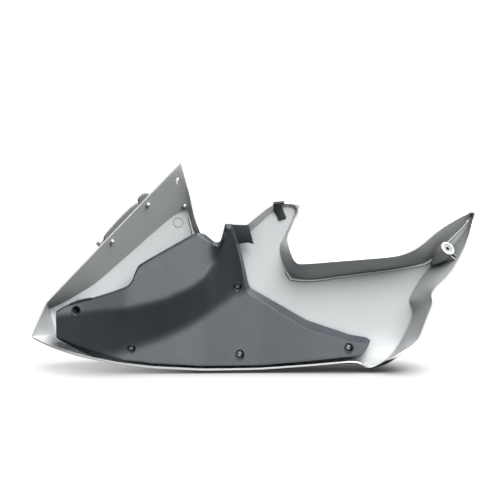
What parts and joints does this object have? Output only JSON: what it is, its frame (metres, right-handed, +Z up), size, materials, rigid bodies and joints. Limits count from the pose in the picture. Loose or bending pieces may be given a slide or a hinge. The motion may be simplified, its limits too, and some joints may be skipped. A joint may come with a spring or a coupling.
{
  "type": "side fairing panel",
  "caption": "Right-hand lower side fairing for a motorbike: pale moulded skin with a screwed-in dark liner, keyhole apex, notched tail and a rear mounting boss.",
  "frame": {"origin": "on the axis of the steel sleeve in the rear boss, 1 mm below the sleeve's open end", "axes": "+X along the panel toward its tail, +Y from the inner side to the outer side, +Z up"},
  "size_m": [0.7781, 0.1361, 0.3549],
  "materials": {
    "panel_plastic": "pale grey moulded ABS, satin",
    "liner_plastic": "charcoal moulded PP, satin",
    "strip_plastic": "mid grey moulded PP, satin",
    "screw_steel": "zinc-plated steel",
    "sleeve_steel": "plain turned steel",
    "rubber": "matt black rubber"
  },
  "bodies": {
    "root": {"outer_panel": "panel_plastic", "inner_liner": "liner_plastic", "liner_screw_1": "screw_steel", "liner_screw_2": "screw_steel", "liner_screw_3": "screw_steel", "liner_screw_4": "screw_steel", "trim_strip": "strip_plastic", "trim_screw_1": "screw_steel", "trim_screw_2": "screw_steel", "apex_screw": "screw_steel", "edge_pad": "rubber", "tail_sleeve": "sleeve_steel", "tail_grommet": "rubber"}
  },
  "joints": []
}
